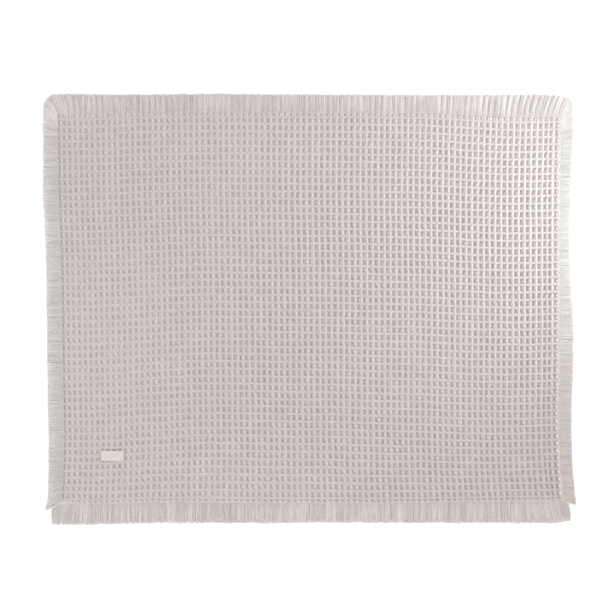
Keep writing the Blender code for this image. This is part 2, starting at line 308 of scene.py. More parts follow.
def lens_strands(lines, crest, half_width, depth, tone):
    """Yarn floats: closed strands with three sides that taper to a point at both ends.

    lines is (strands, stations, 2) in millimetres, both end points included; the other arrays have its first two sizes.
    """
    count, long = lines.shape[:2]
    steps = long - 2
    along = np.gradient(lines, axis=1)
    along /= np.maximum(np.linalg.norm(along, axis=-1, keepdims=True), 1e-9)
    beside = np.stack([-along[..., 1], along[..., 0]], -1)
    inner = slice(1, -1)
    middle = np.concatenate([lines[:, inner], crest[:, inner, None]], -1)
    low = (crest - depth)[:, inner, None]
    left = np.concatenate([lines[:, inner] + beside[:, inner] * half_width[:, inner, None], low], -1)
    right = np.concatenate([lines[:, inner] - beside[:, inner] * half_width[:, inner, None], low], -1)
    rings = np.stack([left, middle, right], 2).reshape(count, steps * 3, 3)
    ends = np.concatenate([lines[:, (0, -1)], (crest - 0.5 * depth)[:, (0, -1), None]], -1)
    places = np.concatenate([rings, ends], 1)
    first = (np.arange(count) * (steps * 3 + 2))[:, None, None]
    quads = [(3 * s + k, 3 * s + (k + 1) % 3, 3 * s + 3 + (k + 1) % 3, 3 * s + 3 + k)
             for s in range(steps - 1) for k in range(3)]
    tips = [(steps * 3, (k + 1) % 3, k) for k in range(3)]
    tips += [(steps * 3 + 1, 3 * (steps - 1) + k, 3 * (steps - 1) + (k + 1) % 3) for k in range(3)]
    run = np.concatenate([np.zeros((count, 1)), np.cumsum(np.linalg.norm(np.diff(lines, axis=1), axis=-1), 1)], 1)
    uv = np.zeros((count, steps * 3 + 2, 2))
    uv[:, :-2, 0] = np.tile((0.0, 0.5, 1.0), steps)
    uv[:, :-2, 1] = np.repeat(run[:, inner], 3, axis=1)
    uv[:, -2:, 0], uv[:, -2, 1], uv[:, -1, 1] = 0.5, run[:, 0], run[:, -1]
    uv[..., 1] += 3.0 * tone[:, None]
    return (places.reshape(-1, 3), (np.array(quads, int).reshape(1, -1, 4) + first).reshape(-1, 4),
            (np.array(tips)[None] + first).reshape(-1, 3), uv.reshape(-1, 2), np.repeat(tone, steps * 3 + 2))


def joined(parts):
    """Several sets of places, quads, triangles, uv and tone as one."""
    shift = np.cumsum([0] + [len(part[0]) for part in parts[:-1]])
    return (np.concatenate([part[0] for part in parts]),
            np.concatenate([part[1] + s for part, s in zip(parts, shift)]),
            np.concatenate([part[2] + s for part, s in zip(parts, shift)]),
            np.concatenate([part[3] for part in parts]), np.concatenate([part[4] for part in parts]))


def floats_of(kind, spec, ribs, gaps, seed):
    """The floats of one sort: beside each rib of `ribs`, in the middle of each stretch of `gaps` between two ribs."""
    random = np.random.default_rng(seed)
    rib, gap = (grid.ravel().astype(float) for grid in np.meshgrid(ribs, gaps))
    count = len(rib)
    at = {1: (0.0,), 2: (-0.40, 0.40), 3: (-0.62, 0.0, 0.62)}[spec.steps]
    at = np.array((-1.0, *at, 1.0))[None, :]
    reach = spec.reach * (1 + random.normal(0, 0.04, (count, 1)))
    run = gap[:, None] + reach * at + random.normal(0, 0.012, (count, 1))
    aside = rib[:, None] + spec.beside + random.normal(0, 0.014, (count, 1)) + 0.018 * random.normal(0, 1, (count, 1)) * at
    lines = place(aside, run) if kind == "warp" else place(run, aside)
    crest = (ridge_top(lines) - spec.below - spec.sink * np.abs(at) ** 2.4
             + np.clip(random.normal(0, 0.05 + 0.04 * min(spec.below, 2.0), (count, 1)), -0.3, 0.3))
    half_width = spec.half_width * (1 + random.normal(0, 0.07, (count, 1))) * np.sqrt(1 - 0.8 * np.abs(at) ** 3)
    # Each float's tone differs at random. The knots get painted shade, darker where the warp goes down at the
    # crossings, and the floats on the left of each rib get painted light along the pit's wall beside them.
    tone = random.uniform(-0.6, 0.6, count) - (1.0 if spec is KNOT else 0.0) + (0.9 if spec.beside < -0.2 else 0.0)
    if kind == "warp":         # painted light: the outermost ribs stand free, and their warp floats are painted a little lighter
        tone += 0.7 * (rib < 0.5) + 1.0 * (rib > 84.5)
    return lens_strands(lines, crest, half_width, 0.85 * half_width, tone)


# ------------------------------------------------------------------ materials
def new_material(name, roughness):
    material = bpy.data.materials.new(name)
    material.use_nodes = True
    tree = material.node_tree
    shader = tree.nodes["Principled BSDF"]
    shader.inputs["Roughness"].default_value = roughness
    shader.inputs["Specular IOR Level"].default_value = 0.25
    return material, tree, shader


def add(tree, kind, **settings):
    node = tree.nodes.new(kind)
    for name, value in settings.items():
        if name.startswith("in_"):
            key = name[3:].replace("_", " ")
            node.inputs[int(key) if key.isdigit() else key].default_value = value
        else:
            setattr(node, name, value)
    return node


def yarn_material(name, colour, lay, twist_depth, tone_share=0.14, roughness=0.92, lower_colour=None, slubby=0.09):
    """Two-ply cotton yarn: plies that wind round it once in `lay` millimetres, a little fuzz, and each yarn's tone,
    which holds painted light and shade for some of the yarns.
    """
    material, tree, shader = new_material(name, roughness)
    link = tree.links.new
    where = add(tree, "ShaderNodeTexCoord")
    uv = add(tree, "ShaderNodeUVMap", uv_map="yarn")
    split = add(tree, "ShaderNodeSeparateXYZ")
    link(uv.outputs["UV"], split.inputs[0])
    turns = add(tree, "ShaderNodeMath", operation="MULTIPLY", in_1=2 * math.pi * 2 / lay)
    link(split.outputs["Y"], turns.inputs[0])
    slant = add(tree, "ShaderNodeMath", operation="MULTIPLY_ADD", in_1=math.pi * 1.3)
    link(split.outputs["X"], slant.inputs[0])
    link(turns.outputs[0], slant.inputs[2])
    plies = add(tree, "ShaderNodeMath", operation="SINE")
    link(slant.outputs[0], plies.inputs[0])
    fuzz = add(tree, "ShaderNodeTexNoise", in_Scale=2600.0, in_Detail=3.0, in_Roughness=0.65)
    link(where.outputs["Object"], fuzz.inputs["Vector"])
    height = add(tree, "ShaderNodeMath", operation="MULTIPLY_ADD", in_1=0.8)
    link(fuzz.outputs["Fac"], height.inputs[0])
    link(plies.outputs[0], height.inputs[2])
    bump = add(tree, "ShaderNodeBump", in_Strength=0.55, in_Distance=twist_depth * MM)
    link(height.outputs[0], bump.inputs["Height"])
    link(bump.outputs["Normal"], shader.inputs["Normal"])

    # Colour: the yarn's tone, slow changes over the cloth, and painted shade between the plies, where the colour is
    # slightly darker.
    tone = add(tree, "ShaderNodeAttribute", attribute_name="yarn_tone")
    slow = add(tree, "ShaderNodeTexNoise", in_Scale=22.0, in_Detail=2.0)
    link(where.outputs["Object"], slow.inputs["Vector"])
    own = add(tree, "ShaderNodeMath", operation="MULTIPLY_ADD", in_1=tone_share, in_2=1.0)
    link(tone.outputs["Fac"], own.inputs[0])
    drift = add(tree, "ShaderNodeMapRange", in_3=0.965, in_4=1.035)
    link(slow.outputs["Fac"], drift.inputs[0])
    both = add(tree, "ShaderNodeMath", operation="MULTIPLY")
    link(own.outputs[0], both.inputs[0])
    link(drift.outputs[0], both.inputs[1])
    slubs = add(tree, "ShaderNodeTexNoise", in_Scale=340.0, in_Detail=1.0)     # thick and thin places of the yarn
    link(where.outputs["Object"], slubs.inputs["Vector"])
    thick = add(tree, "ShaderNodeMapRange", in_1=0.3, in_2=0.7, in_3=1 - slubby, in_4=1 + slubby)
    link(slubs.outputs["Fac"], thick.inputs[0])
    all_three = add(tree, "ShaderNodeMath", operation="MULTIPLY")
    link(both.outputs[0], all_three.inputs[0])
    link(thick.outputs[0], all_three.inputs[1])
    deep = add(tree, "ShaderNodeMapRange", in_1=-1.0, in_2=1.0, in_3=0.955, in_4=1.015)
    link(plies.outputs[0], deep.inputs[0])
    shade = add(tree, "ShaderNodeMath", operation="MULTIPLY")
    link(all_three.outputs[0], shade.inputs[0])
    link(deep.outputs[0], shade.inputs[1])
    colour_node = add(tree, "ShaderNodeVectorMath", operation="SCALE")
    colour_node.inputs[0].default_value = colour
    if lower_colour:            # the colour changes slowly from the upper half of the blanket to the lower half
        along_y = add(tree, "ShaderNodeSeparateXYZ")
        link(where.outputs["Object"], along_y.inputs[0])
        lower = add(tree, "ShaderNodeMapRange", interpolation_type="SMOOTHSTEP", in_1=0.08, in_2=-0.14)
        link(along_y.outputs["Y"], lower.inputs[0])
        blend = add(tree, "ShaderNodeMix", data_type="VECTOR")
        blend.inputs["A"].default_value, blend.inputs["B"].default_value = colour, lower_colour
        link(lower.outputs[0], blend.inputs["Factor"])
        link(blend.outputs["Result"], colour_node.inputs[0])
    link(shade.outputs[0], colour_node.inputs["Scale"])
    link(colour_node.outputs[0], shader.inputs["Base Color"])
    rough = add(tree, "ShaderNodeMapRange", in_3=roughness - 0.06, in_4=min(roughness + 0.05, 1.0))
    link(fuzz.outputs["Fac"], rough.inputs[0])
    link(rough.outputs[0], shader.inputs["Roughness"])
    shader.inputs["Sheen Weight"].default_value = 0.10
    shader.inputs["Sheen Roughness"].default_value = 0.5
    return material


def ground_material(name, colour):
    """The tightly woven ground under the floats: eight yarns to a cell each way, over and under in turn."""
    material, tree, shader = new_material(name, 0.94)
    link = tree.links.new
    where = add(tree, "ShaderNodeTexCoord")
    uv = add(tree, "ShaderNodeUVMap", uv_map="yarn")
    split = add(tree, "ShaderNodeSeparateXYZ")
    link(uv.outputs["UV"], split.inputs[0])
    waves = []
    for axis, cells in (("X", COLUMNS), ("Y", ROWS)):
        scaled = add(tree, "ShaderNodeMath", operation="MULTIPLY", in_1=2 * math.pi * 4 * cells)
        link(split.outputs[axis], scaled.inputs[0])
        wave = add(tree, "ShaderNodeMath", operation="COSINE")
        link(scaled.outputs[0], wave.inputs[0])
        waves.append(wave)
    over = add(tree, "ShaderNodeMath", operation="MULTIPLY")
    link(waves[0].outputs[0], over.inputs[0])
    link(waves[1].outputs[0], over.inputs[1])
    fuzz = add(tree, "ShaderNodeTexNoise", in_Scale=2200.0, in_Detail=3.0, in_Roughness=0.65)
    link(where.outputs["Object"], fuzz.inputs["Vector"])
    height = add(tree, "ShaderNodeMath", operation="MULTIPLY_ADD", in_1=0.7)
    link(fuzz.outputs["Fac"], height.inputs[0])
    link(over.outputs[0], height.inputs[2])
    bump = add(tree, "ShaderNodeBump", in_Strength=0.7, in_Distance=0.45 * MM)
    link(height.outputs[0], bump.inputs["Height"])
    link(bump.outputs["Normal"], shader.inputs["Normal"])
    # Colour, with painted shade: darker in the gaps between the yarns, and where the pits are deep and little light
    # gets between them.
    deep = add(tree, "ShaderNodeMapRange", in_1=-1.0, in_2=1.0, in_3=0.93, in_4=1.03)
    link(over.outputs[0], deep.inputs[0])
    in_pit = add(tree, "ShaderNodeAttribute", attribute_name="yarn_tone")
    slow = add(tree, "ShaderNodeAttribute", attribute_name="painted_pit_light_and_shade")
    wide = add(tree, "ShaderNodeTexNoise", in_Scale=22.0, in_Detail=2.0)
    link(where.outputs["Object"], wide.inputs["Vector"])
    drift = add(tree, "ShaderNodeMapRange", in_3=0.965, in_4=1.035)
    link(wide.outputs["Fac"], drift.inputs[0])
    # From the middle of each pit to its corners run the grooves where warp floats and weft floats meet, and painted
    # shade makes them darker. They are never quite straight or alike, and their painted shade is darkest towards the
    # left.
    shaky = add(tree, "ShaderNodeTexNoise", in_Scale=150.0, in_Detail=1.0)
    link(where.outputs["Object"], shaky.inputs["Vector"])
    shaken = add(tree, "ShaderNodeSeparateColor")
    link(shaky.outputs["Color"], shaken.inputs[0])
    from_middle, leftness = [], None
    for axis, cells, channel in (("X", COLUMNS, "Red"), ("Y", ROWS, "Green")):
        moved = add(tree, "ShaderNodeMapRange", in_1=0.25, in_2=0.75, in_3=-0.055, in_4=0.055)
        link(shaken.outputs[channel], moved.inputs[0])
        cell = add(tree, "ShaderNodeMath", operation="MULTIPLY_ADD", in_1=float(cells))
        link(split.outputs[axis], cell.inputs[0])
        link(moved.outputs[0], cell.inputs[2])
        part = add(tree, "ShaderNodeMath", operation="FRACT")
        link(cell.outputs[0], part.inputs[0])
        part_off = add(tree, "ShaderNodeMath", operation="SUBTRACT", in_1=0.5)
        link(part.outputs[0], part_off.inputs[0])
        leftness = leftness or part_off
        off = add(tree, "ShaderNodeMath", operation="ABSOLUTE")
        link(part_off.outputs[0], off.inputs[0])
        from_middle.append(off)
    beside = add(tree, "ShaderNodeMath", operation="MULTIPLY_ADD", in_1=-1.35)
    link(from_middle[0].outputs[0], beside.inputs[0])
    link(from_middle[1].outputs[0], beside.inputs[2])
    from_groove = add(tree, "ShaderNodeMath", operation="ABSOLUTE")
    link(beside.outputs[0], from_groove.inputs[0])
    painted_groove_shade = add(tree, "ShaderNodeMapRange", interpolation_type="SMOOTHSTEP", in_1=0.01, in_2=0.10,
                 in_3=1.0 - GROOVE_PAINTED_SHADE, in_4=1.0)
    link(from_groove.outputs[0], painted_groove_shade.inputs[0])
    only_deep = add(tree, "ShaderNodeMapRange", interpolation_type="SMOOTHSTEP", in_1=0.45, in_2=0.85)
    link(in_pit.outputs["Fac"], only_deep.inputs[0])
    to_left = add(tree, "ShaderNodeMapRange", in_1=-0.3, in_2=0.3, in_3=1.0, in_4=0.85)
    link(leftness.outputs[0], to_left.inputs[0])
    how_much = add(tree, "ShaderNodeMath", operation="MULTIPLY")
    link(only_deep.outputs[0], how_much.inputs[0])
    link(to_left.outputs[0], how_much.inputs[1])
    masked = add(tree, "ShaderNodeMix", data_type="FLOAT")
    masked.inputs["A"].default_value = 1.0
    link(how_much.outputs[0], masked.inputs["Factor"])
    link(painted_groove_shade.outputs[0], masked.inputs["B"])
    # Between the two grooves on the right, where the yarns climb to the ridge, a wedge is painted lighter: painted
    # light.
    between = add(tree, "ShaderNodeMapRange", interpolation_type="SMOOTHSTEP", in_1=-0.02, in_2=-0.20)
    link(beside.outputs[0], between.inputs[0])
    to_right = add(tree, "ShaderNodeMapRange", interpolation_type="SMOOTHSTEP", in_1=-0.04, in_2=0.10)
    link(leftness.outputs[0], to_right.inputs[0])
    there = add(tree, "ShaderNodeMath", operation="MULTIPLY")
    link(between.outputs[0], there.inputs[0])
    link(to_right.outputs[0], there.inputs[1])
    deep_there = add(tree, "ShaderNodeMath", operation="MULTIPLY")
    link(there.outputs[0], deep_there.inputs[0])
    link(only_deep.outputs[0], deep_there.inputs[1])
    painted_wedge_light = add(tree, "ShaderNodeMath", operation="MULTIPLY_ADD", in_1=WEDGE_PAINTED_LIGHT, in_2=1.0)
    link(deep_there.outputs[0], painted_wedge_light.inputs[0])
    marked = add(tree, "ShaderNodeMath", operation="MULTIPLY")
    link(masked.outputs[0], marked.inputs[0])
    link(painted_wedge_light.outputs[0], marked.inputs[1])
    pit_part = add(tree, "ShaderNodeMath", operation="MULTIPLY")
    link(slow.outputs["Fac"], pit_part.inputs[0])
    link(marked.outputs[0], pit_part.inputs[1])
    first = add(tree, "ShaderNodeMath", operation="MULTIPLY")
    link(deep.outputs[0], first.inputs[0])
    link(pit_part.outputs[0], first.inputs[1])
    # Where two ridges cross, the yarns go down into the cloth and leave small hollows, and painted shade makes the
    # colour darker there.
    crossing = add(tree, "ShaderNodeMath", operation="MULTIPLY")
    link(from_middle[0].outputs[0], crossing.inputs[0])
    link(from_middle[1].outputs[0], crossing.inputs[1])
    painted_hollow_shade = add(tree, "ShaderNodeMapRange", interpolation_type="SMOOTHSTEP", in_1=0.13, in_2=0.20, in_3=1.0, in_4=0.80)
    link(crossing.outputs[0], painted_hollow_shade.inputs[0])
    second = add(tree, "ShaderNodeMath", operation="MULTIPLY")
    link(first.outputs[0], second.inputs[0])
    link(painted_hollow_shade.outputs[0], second.inputs[1])
    shade = add(tree, "ShaderNodeMath", operation="MULTIPLY")
    link(second.outputs[0], shade.inputs[0])
    link(drift.outputs[0], shade.inputs[1])
    colour_node = add(tree, "ShaderNodeVectorMath", operation="SCALE")
    colour_node.inputs[0].default_value = colour
    link(shade.outputs[0], colour_node.inputs["Scale"])
    link(colour_node.outputs[0], shader.inputs["Base Color"])
    rough = add(tree, "ShaderNodeMapRange", in_3=0.90, in_4=0.99)
    link(fuzz.outputs["Fac"], rough.inputs[0])
    link(rough.outputs[0], shader.inputs["Roughness"])
    shader.inputs["Sheen Weight"].default_value = 0.08
    shader.inputs["Sheen Roughness"].default_value = 0.5
    return material


def tape_material(name, colour):
    """A smooth woven tape: fine ribs across it and a soft satin gloss."""
    material, tree, shader = new_material(name, 0.5)
    link = tree.links.new
    where = add(tree, "ShaderNodeTexCoord")
    split = add(tree, "ShaderNodeSeparateXYZ")
    link(where.outputs["Object"], split.inputs[0])
    ribs = []
    for axis, pitch in (("X", 0.45), ("Y", 0.30)):
        scaled = add(tree, "ShaderNodeMath", operation="MULTIPLY", in_1=2 * math.pi / (pitch * MM))
        link(split.outputs[axis], scaled.inputs[0])
        wave = add(tree, "ShaderNodeMath", operation="SINE")
        link(scaled.outputs[0], wave.inputs[0])
        ribs.append(wave)
    height = add(tree, "ShaderNodeMath", operation="MULTIPLY_ADD", in_1=0.5)
    link(ribs[0].outputs[0], height.inputs[0])
    link(ribs[1].outputs[0], height.inputs[2])
    bump = add(tree, "ShaderNodeBump", in_Strength=0.4, in_Distance=0.06 * MM)
    link(height.outputs[0], bump.inputs["Height"])
    link(bump.outputs["Normal"], shader.inputs["Normal"])
    slow = add(tree, "ShaderNodeTexNoise", in_Scale=160.0, in_Detail=3.0)
    link(where.outputs["Object"], slow.inputs["Vector"])
    shade = add(tree, "ShaderNodeMapRange", in_3=0.94, in_4=1.04)
    link(slow.outputs["Fac"], shade.inputs[0])
    colour_node = add(tree, "ShaderNodeVectorMath", operation="SCALE")
    colour_node.inputs[0].default_value = colour
    link(shade.outputs[0], colour_node.inputs["Scale"])
    link(colour_node.outputs[0], shader.inputs["Base Color"])
    rough = add(tree, "ShaderNodeMapRange", in_3=0.45, in_4=0.6)
    link(slow.outputs["Fac"], rough.inputs[0])
    link(rough.outputs[0], shader.inputs["Roughness"])
    shader.inputs["Sheen Weight"].default_value = 0.05
    return material


COTTON = (0.556, 0.508, 0.498)
COTTON_DEEP = (0.592, 0.540, 0.529)
PIT_PAINTED_LIGHT_AND_SHADE = (                  # x, y, reach, and how much lighter the pits' floors are painted there: painted light, and painted shade where the number is below 0
    (0, 0, 9000, 0.05), (430, -30, 240, -0.05), (450, 310, 190, 0.12), (-400, -220, 240, -0.03), (-380, 320, 200, 0.05))
GROOVE_PAINTED_SHADE, WEDGE_PAINTED_LIGHT = 0.56, 0.75       # painted shade along the grooves in them, how much darker, and painted light between two, how much lighter
FRINGE_WARP = (0.655, 0.607, 0.595)
FRINGE_WEFT = (0.634, 0.599, 0.587)
FRINGE_WEFT_WARM = (0.660, 0.597, 0.566)
SEAM_THREAD = (0.640, 0.585, 0.568)
TAPE = (0.614, 0.534, 0.506)

float_yarn = yarn_material("waffle_float_yarn", COTTON, lay=2.6, twist_depth=0.10, slubby=0.20)
ground = ground_material("waffle_ground", COTTON_DEEP)
warp_ends = yarn_material("warp_ends", FRINGE_WARP, lay=3.4, twist_depth=0.12, tone_share=0.055, roughness=0.9)
weft_ends = yarn_material("weft_ends", FRINGE_WEFT, lay=3.4, twist_depth=0.12, tone_share=0.055, roughness=0.9)
weft_ends_right = yarn_material("weft_ends_right", FRINGE_WEFT, lay=3.4, twist_depth=0.12, tone_share=0.055, roughness=0.9,
                                lower_colour=FRINGE_WEFT_WARM)
thread = yarn_material("seam_thread", SEAM_THREAD, lay=1.2, twist_depth=0.05, roughness=0.8)
tape = tape_material("satin_tape", TAPE)


# ------------------------------------------------------------------ the woven cloth
def woven_sheet():
    """The closed two-sided cloth: four steps to a cell on the face and two on the underside."""
    def lines(cells, half, width):
        edges = np.array((half, half + width, 1 - half - width, 1 - half))
        return np.concatenate([[-1.0], (-1 + np.arange(cells)[:, None] + edges[None, :]).ravel(), [cells - 1.0]])

    face_across = lines(COLUMNS, RIDGE_HALF_WIDE, WALL_WIDE)
    face_down = lines(ROWS, RIDGE_HALF_LONG, WALL_LONG)
    back_across, back_down = -1 + np.arange(COLUMNS * 2 + 1) / 2, -1 + np.arange(ROWS * 2 + 1) / 2
    across, down = np.meshgrid(face_across, face_down)
    xy = place(across, down)
    face = np.concatenate([xy, face_height(across, down, xy)[..., None]], -1)
    face_uv = np.stack([(across + 1) / COLUMNS, (down + 1) / ROWS], -1)
    face_deep = np.clip(1 - ridges(across, down), 0, 1)
    across, down = np.meshgrid(back_across, back_down)
    xy = place(across, down)
    back_z = 0.05 + UNDER_PIT * (1 - under_ridges(across, down))
    back = np.concatenate([xy, back_z[..., None]], -1)
    back_uv = np.stack([(across + 1) / COLUMNS, (down + 1) / ROWS], -1)
    back_deep = 0.4 * (1 - under_ridges(across, down))     # too shallow for the painted shade of the grooves that the pits of the face have

    def grid_quads(rows, columns, shift, turned):
        j, i = np.meshgrid(np.arange(rows - 1), np.arange(columns - 1), indexing="ij")
        a = (j * columns + i).ravel() + shift
        quads = np.stack([a, a + columns, a + columns + 1, a + 1], 1)
        return quads[:, ::-1] if turned else quads

    face_rows, face_columns = face.shape[:2]
    back_rows, back_columns = back.shape[:2]
    shift = face_rows * face_columns
    quads = np.concatenate([grid_quads(face_rows, face_columns, 0, False),
                            grid_quads(back_rows, back_columns, shift, True)])

    def border(rows, columns, first, across, down):
        """The places round the edge and how far round they are, in the order in which the face's own edges run."""
        index = np.arange(rows * columns).reshape(rows, columns) + first
        x, y = across + 1, down + 1
        round_places = np.concatenate([index[:-1, 0], index[-1, :-1], index[:0:-1, -1], index[0, :0:-1], index[:1, 0]])
        far = np.concatenate([y[:-1], y[-1] + x[:-1], 2 * y[-1] + x[-1] - y[:0:-1], 2 * y[-1] + 2 * x[-1] - x[:0:-1],
                              [2 * y[-1] + 2 * x[-1]]])
        return round_places, far

    upper, upper_far = border(face_rows, face_columns, 0, face_across, face_down)
    lower, lower_far = border(back_rows, back_columns, shift, back_across, back_down)
    rim, f, b = [], 0, 0
    while f < len(upper) - 1 or b < len(lower) - 1:
        if b == len(lower) - 1 or (f < len(upper) - 1 and upper_far[f + 1] <= lower_far[b + 1]):
            rim.append((upper[f], lower[b], upper[f + 1]))
            f += 1
        else:
            rim.append((upper[f], lower[b], lower[b + 1]))
            b += 1
    places = np.concatenate([face.reshape(-1, 3), back.reshape(-1, 3)])
    deep = np.concatenate([face_deep.ravel(), back_deep.ravel()])
    return places, quads, np.array(rim), np.concatenate([face_uv.reshape(-1, 2), back_uv.reshape(-1, 2)]), deep


places, quads, rim, uv, deep = woven_sheet()
cloth = make_piece("waffle_cloth", places, quads, rim, ground, uv, deep)
# Painted light and shade on the pits' floors: lighter or darker round the places listed above.
shade = 1 + deep * sum(more * np.exp(-((places[:, 0] - x) ** 2 + (places[:, 1] - y) ** 2) / reach**2) for x, y, reach, more in PIT_PAINTED_LIGHT_AND_SHADE)
# Painted shade and light: the narrow last pits at the right are painted darker than the light leaves them, and the rim
# past them is painted a little lighter.
across = uv[:, 0] * COLUMNS - 1
painted_last_pits_shade = 1 - np.interp(places[:, 1], (0, 300), (0.14, 0.24))
shade *= np.where((across > 84.25) & (across < 84.75), painted_last_pits_shade, np.where(across > 84.75, 1.10, 1.0))
cloth.data.attributes.new("painted_pit_light_and_shade", "FLOAT", "POINT").data.foreach_set("value", shade.astype(np.float32))
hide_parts("panel")

halves = {"upper": (np.arange(0, 26), np.arange(-1, 26)), "lower": (np.arange(26, 52), np.arange(26, 52))}
for half, (rows, gaps) in halves.items():
    # Warp floats stand between two rows, beside every rib; weft floats stand between two ribs, beside every row.
    full = gaps[(gaps >= 0) & (gaps <= 50)]
    warp = [floats_of("warp", spec, np.arange(0, 86 if spec.beside == 0 else 85 if spec.beside < 0.2 else 84),
                      (gaps if abs(spec.beside) < 0.2 else full) + 0.5, 20 + n)
            for n, spec in enumerate(WARP_FLOATS)]
    warp.append(floats_of("warp", KNOT, np.arange(0, 86), rows, 40))
    weft = [floats_of("weft", spec, rows, np.arange(-1, 85) + 0.5, 60 + n) for n, spec in enumerate(WEFT_FLOATS)]
    for kind, parts in (("warp", warp), ("weft", weft)):
        places, quads, triangles, uv, tone = joined(parts)
        piece = make_piece(f"{kind}_floats_{half}", places, quads, triangles, float_yarn, uv, tone)


# ------------------------------------------------------------------ the fringes
def strands(lines, heights, radius, tone, flat, tips, roots, t):
    """Yarn ends: strands with three sides, cut off at the root and tapered to the tip. lines is (strands, stations, 2).

    t is how far along each station is. The tips are thin, and both ends get painted light, in the measure of tone: the
    tips are painted lighter by `tips` and the roots by the argument after it.
    """
    count, steps = lines.shape[:2]
    along = np.gradient(lines, axis=1)
    along /= np.maximum(np.linalg.norm(along, axis=-1, keepdims=True), 1e-9)
    beside = np.stack([-along[..., 1], along[..., 0]], -1)
    left = np.concatenate([lines + beside * radius[..., None], (heights - 0.4 * flat * radius)[..., None]], -1)
    crest = np.concatenate([lines, (heights + 0.6 * flat * radius)[..., None]], -1)
    right = np.concatenate([lines - beside * radius[..., None], (heights - 0.4 * flat * radius)[..., None]], -1)
    rings = np.stack([left, crest, right], 2).reshape(count, steps * 3, 3)
    tip = np.concatenate([lines[:, -1:] + 0.8 * along[:, -1:] * radius[:, -1:, None], heights[:, -1:, None]], -1)
    places = np.concatenate([rings, tip], 1)
    size = steps * 3 + 1
    first = (np.arange(count) * size)[:, None, None]
    quads = [(3 * s + k, 3 * s + (k + 1) % 3, 3 * s + 3 + (k + 1) % 3, 3 * s + 3 + k)
             for s in range(steps - 1) for k in range(3)]
    triangles = [(0, 2, 1)] + [(size - 1, 3 * (steps - 1) + k, 3 * (steps - 1) + (k + 1) % 3) for k in range(3)]
    run = np.concatenate([np.zeros((count, 1)), np.cumsum(np.linalg.norm(np.diff(lines, axis=1), axis=-1), 1)], 1)
    uv = np.zeros((count, size, 2))
    uv[:, :-1, 0] = np.tile((0.0, 0.5, 1.0), steps)
    uv[:, :-1, 1] = np.repeat(run, 3, axis=1)
    uv[:, -1, 0], uv[:, -1, 1] = 0.5, run[:, -1] + 0.5
    uv[..., 1] += 5.0 * tone[:, None]
    return (places.reshape(-1, 3), (np.array(quads)[None] + first).reshape(-1, 4),
            (np.array(triangles)[None] + first).reshape(-1, 3), uv.reshape(-1, 2),
            (tone[:, None] + tips * np.append(np.repeat(t, 3), 1.0)[None, :] ** 2.4
             + roots * (1 - np.append(np.repeat(t, 3), 1.0)[None, :]) ** 6).ravel())


# The three fields after `streaks` give painted light and shade on the yarn ends, in the measure of tone; `streaks`
# gives painted light on the bundles' middles.
Side = namedtuple("Side", "node material outline cells share_of gather wander streaks tips roots paler root_in root seed start_bend end_bend start_more end_more")
Layer = namedtuple("Layer", "pitch half_width flat root tip_height gather wander steps")


def down_share(at):
    """Shares of the length at the left and right edges, where the rows' bow has run out."""
    return share_down(at, np.zeros_like(at))


def section(side, share):
    """Foot and tip of a yarn end. Past the ends of the side, the feet stay at the corner and the tips fan on."""
    inside = np.clip(share, 0.0, 1.0)
    foot, tip = edge_point(side.outline, inside), tip_point(side.outline, inside)
    over = (share - inside)[..., None] * 1000.0
    return foot, tip + np.where(over < 0, -over * np.array(side.start_more), over * np.array(side.end_more))


def evenly(side, pitch):
    """Shares of the side from which yarn ends leave, so that neither their feet nor their tips are far apart."""
    fine = np.linspace(-0.001, 1.001, 4001)
    foot, tip = section(side, fine)
    step = np.maximum(np.linalg.norm(np.diff(foot, axis=0), axis=1), np.linalg.norm(np.diff(tip, axis=0), axis=1))
    run = np.concatenate([[0.0], np.cumsum(step)])
    count = int(run[-1] / pitch)
    return np.interp((np.arange(count) + 0.5) / count * run[-1], run, fine)


